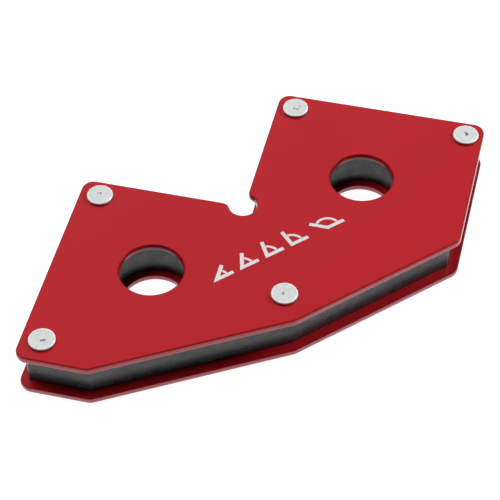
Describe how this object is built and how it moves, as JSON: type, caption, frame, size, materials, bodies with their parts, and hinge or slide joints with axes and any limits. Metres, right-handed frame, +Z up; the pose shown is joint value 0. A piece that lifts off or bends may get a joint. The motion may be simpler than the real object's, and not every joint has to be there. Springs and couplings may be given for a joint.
{
  "type": "welding magnet holder",
  "caption": "Flat multi-angle welding magnet: two steel plates riveted over a core of block magnets, with a square notch, sloped working edges and large through holes.",
  "frame": {"origin": "under the middle of the part's box, on the outer faces of the back rivet heads", "axes": "+X along the base edge, towards the shorter lobe; +Y towards the notch's mouth; +Z up through the thickness, out of the front plate"},
  "size_m": [0.156, 0.076, 0.017],
  "materials": {
    "plate_paint": "gloss",
    "core_plastic": "satin",
    "ferrite": "matte",
    "rivet_zinc": "satin",
    "print": "satin"
  },
  "bodies": {
    "root": {"back_plate": "plate_paint", "core": "core_plastic", "front_plate": "plate_paint", "magnet_middle": "ferrite", "magnet_right_notch": "ferrite", "magnet_right_end_1": "ferrite", "magnet_right_end_2": "ferrite", "magnet_right_side": "ferrite", "magnet_base_1": "ferrite", "magnet_base_2": "ferrite", "magnet_slope_1": "ferrite", "magnet_slope_2": "ferrite", "magnet_left_end_1": "ferrite", "magnet_left_end_2": "ferrite", "magnet_left_notch": "ferrite", "rivet_left_tip": "rivet_zinc", "rivet_right_tip": "rivet_zinc", "rivet_left_end": "rivet_zinc", "rivet_right_end": "rivet_zinc", "rivet_base": "rivet_zinc"}
  },
  "joints": []
}
